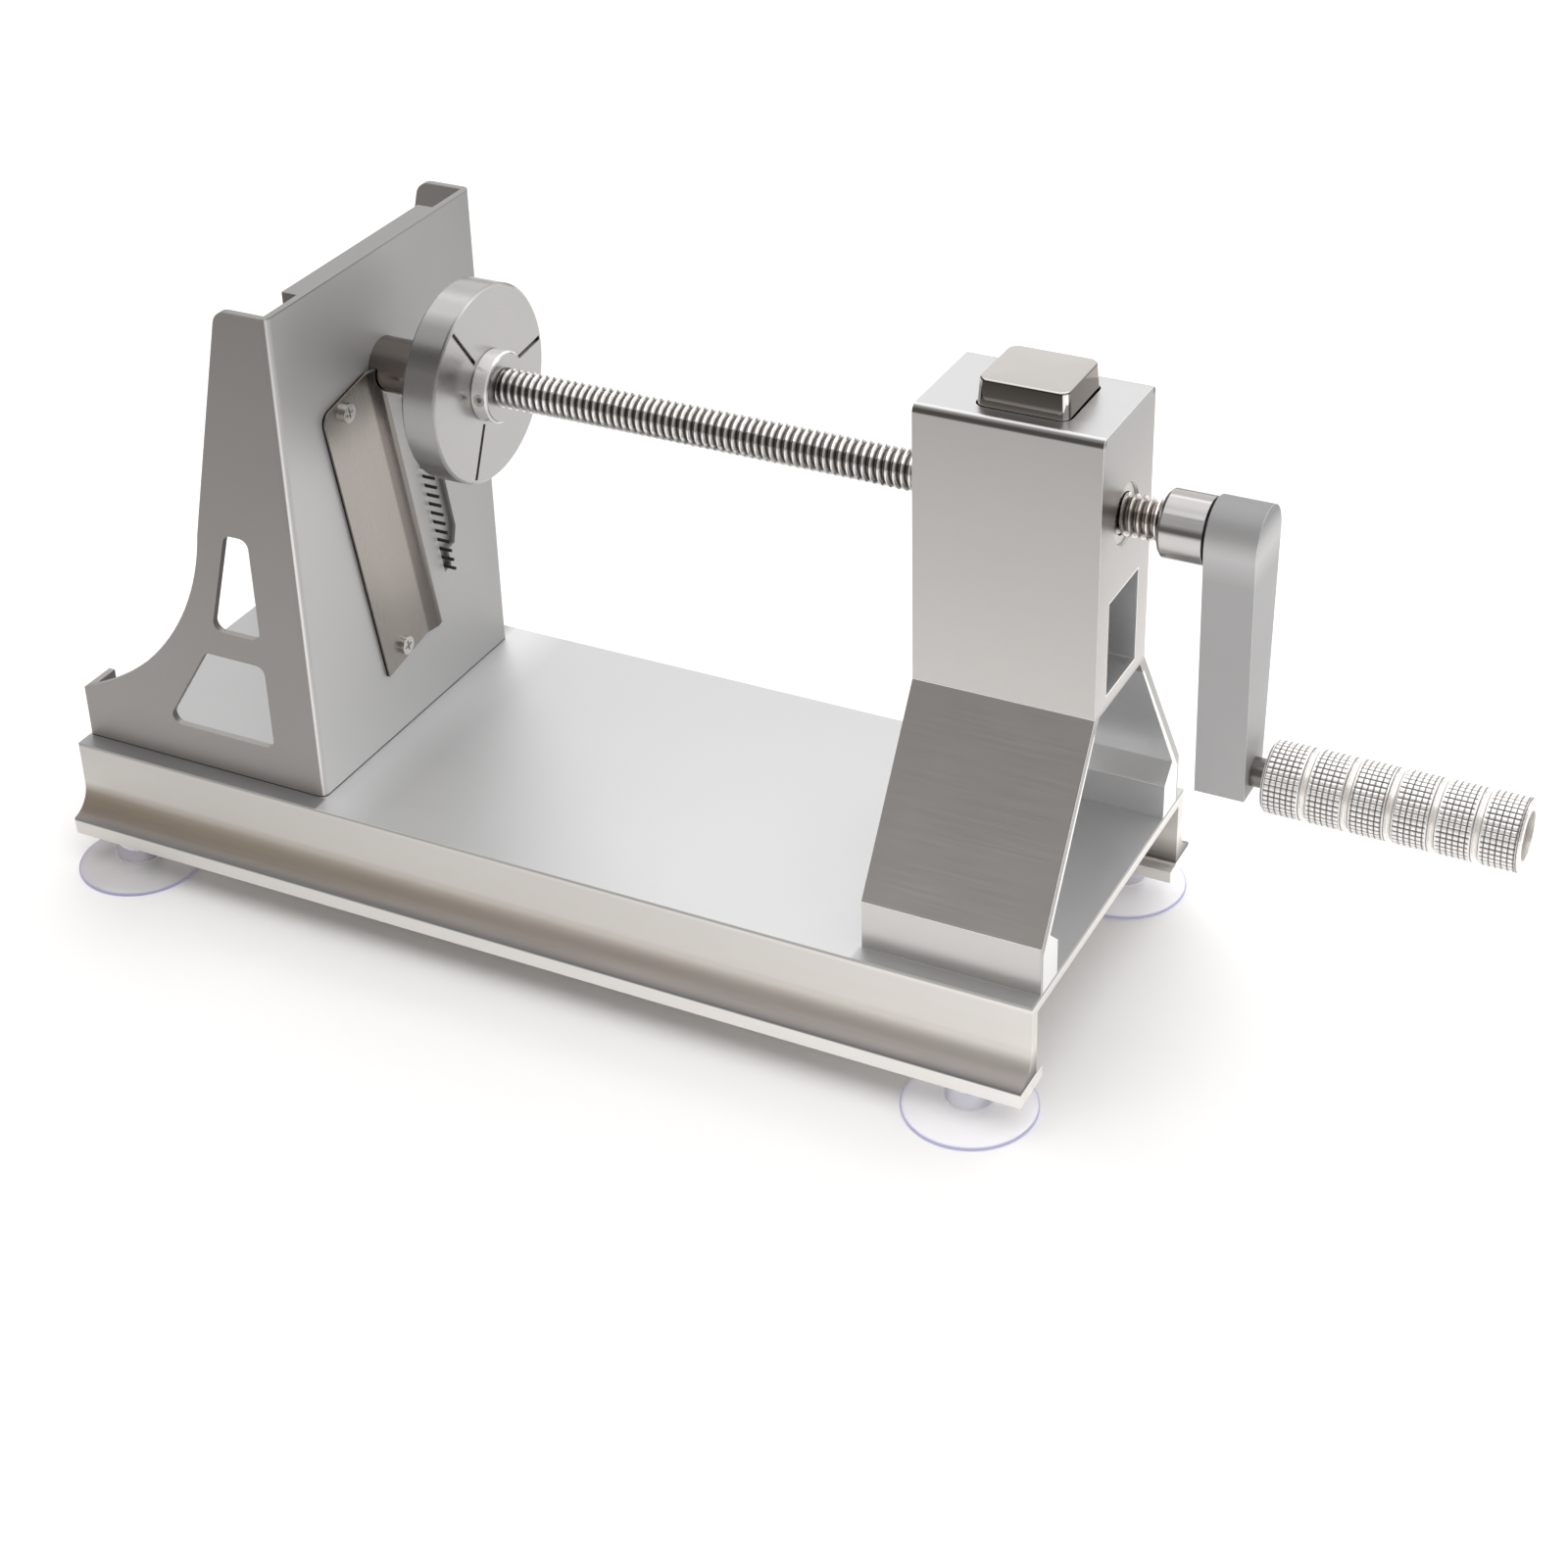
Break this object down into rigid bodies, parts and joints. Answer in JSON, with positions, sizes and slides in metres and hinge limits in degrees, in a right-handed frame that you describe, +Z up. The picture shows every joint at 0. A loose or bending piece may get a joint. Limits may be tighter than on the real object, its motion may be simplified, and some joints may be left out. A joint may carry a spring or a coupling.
{
  "type": "spiralizer",
  "caption": "Hand-cranked spiral slicer: a lead screw with a finned disc turns and feeds the food onto a leaning blade, comb and corer in a bent frame, on a channel base with suction cups",
  "frame": {"origin": "on the table under the middle of the bounding box, which runs from the blade end's cup rims to the grip's end", "axes": "+X along the lead screw towards the crank, +Z up, +Y to the back as the picture shows it"},
  "size_m": [0.448, 0.161, 0.204],
  "materials": {
    "base_aluminium": "satin anodised extrusion",
    "clear_vinyl": "clear soft vinyl with a faint violet rim",
    "plated_steel": "zinc plated",
    "frame_sheet": "satin grey bent sheet",
    "blade_steel": "ground steel",
    "corer_steel": "dark polished tube",
    "post_aluminium": "satin anodised extrusion",
    "bush_brass": "turned brass",
    "button_chrome": "polished dark chrome",
    "carrier_steel": "milled steel",
    "screw_steel": "polished rolled thread",
    "disc_aluminium": "turned, bright satin",
    "arm_aluminium": "satin",
    "grip_aluminium": "knurled, bright",
    "washer_black": "black fibre"
  },
  "bodies": {
    "frame": {"base_extrusion": "base_aluminium", "suction_cups": "clear_vinyl", "cup_studs": "plated_steel", "blade_frame": "frame_sheet", "frame_screws": "plated_steel", "slicing_blade": "blade_steel", "blade_screws": "plated_steel", "comb_blade": "blade_steel", "corer_tube": "corer_steel", "screw_post": "post_aluminium", "post_screws": "plated_steel", "front_bush": "bush_brass", "rear_bush": "bush_brass", "return_springs": "plated_steel"},
    "release": {"release_button": "button_chrome", "nut_carrier": "carrier_steel", "half_nut": "bush_brass"},
    "feed_carriage": {"crank_collar": "disc_aluminium", "thrust_washer": "washer_black"},
    "spindle": {"lead_screw": "screw_steel", "pusher_disc": "disc_aluminium", "gripper_fins": "blade_steel", "hub_set_screw": "plated_steel", "crank_spigot": "screw_steel", "crank_arm": "arm_aluminium", "crank_set_screw": "plated_steel", "grip_axle": "plated_steel", "grip_washer": "plated_steel", "grip_end_screw": "plated_steel"},
    "grip": {"grip_sleeve": "grip_aluminium"}
  },
  "joints": [
    {"name": "release_press", "type": "slide", "parent": "frame", "child": "release", "axis": [0, 0, -1], "range_m": [0, 0.0035], "stiffness_N_per_m": 1500, "springref_m": -0.002, "deforming": ["return_springs"]},
    {"name": "feed_slide", "type": "slide", "parent": "frame", "child": "feed_carriage", "axis": [1, 0, 0], "range_m": [0, 0.1296]},
    {"name": "crank_turn", "type": "hinge", "parent": "feed_carriage", "child": "spindle", "pos_m": [0.1255, 0, 0.1655], "axis": [1, 0, 0], "range_deg": [0, 19440]},
    {"name": "grip_spin", "type": "hinge", "parent": "spindle", "child": "grip", "pos_m": [0.1875, 0, 0.0935], "axis": [1, 0, 0], "continuous": true}
  ],
  "couplings": [
    {"joint": "feed_slide", "follows": "crank_turn", "m_per_rad": 0.00038197}
  ]
}
